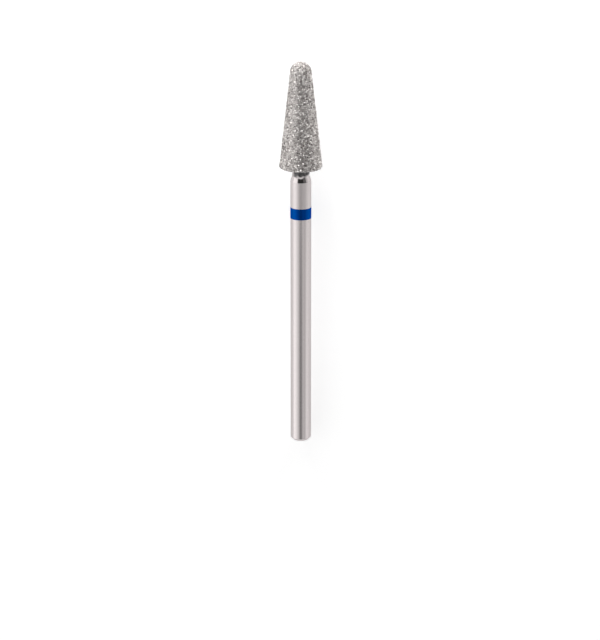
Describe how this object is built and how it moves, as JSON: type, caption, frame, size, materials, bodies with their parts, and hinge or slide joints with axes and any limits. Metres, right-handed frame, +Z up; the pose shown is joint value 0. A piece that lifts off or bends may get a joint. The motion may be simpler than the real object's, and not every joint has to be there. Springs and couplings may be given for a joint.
{
  "type": "dental bur",
  "caption": "Diamond dental bur for a straight handpiece: long steel shank with a blue grit band and a round-ended tapered grinding head.",
  "frame": {"origin": "on the surface that the bur lies on, below the middle of its box", "axes": "+Z up from that surface; +Y along the bur, from the rear end of the shank to the tip of the head; +X completes the right-handed set. The bur's own axis rises 2.17 degrees from +Y, because the bur rests on the shank's rear edge and the head's rim"},
  "size_m": [0.0048, 0.0446, 0.0048],
  "materials": {
    "steel": "fine-ground and polished stainless steel",
    "diamond_grit": "rough, sparkling: one layer of diamond grit in a satin nickel bond",
    "blue_lacquer": "glossy blue lacquer"
  },
  "bodies": {
    "root": {"steel_blank": "steel", "diamond_coat": "diamond_grit", "colour_band": "blue_lacquer"}
  },
  "joints": []
}
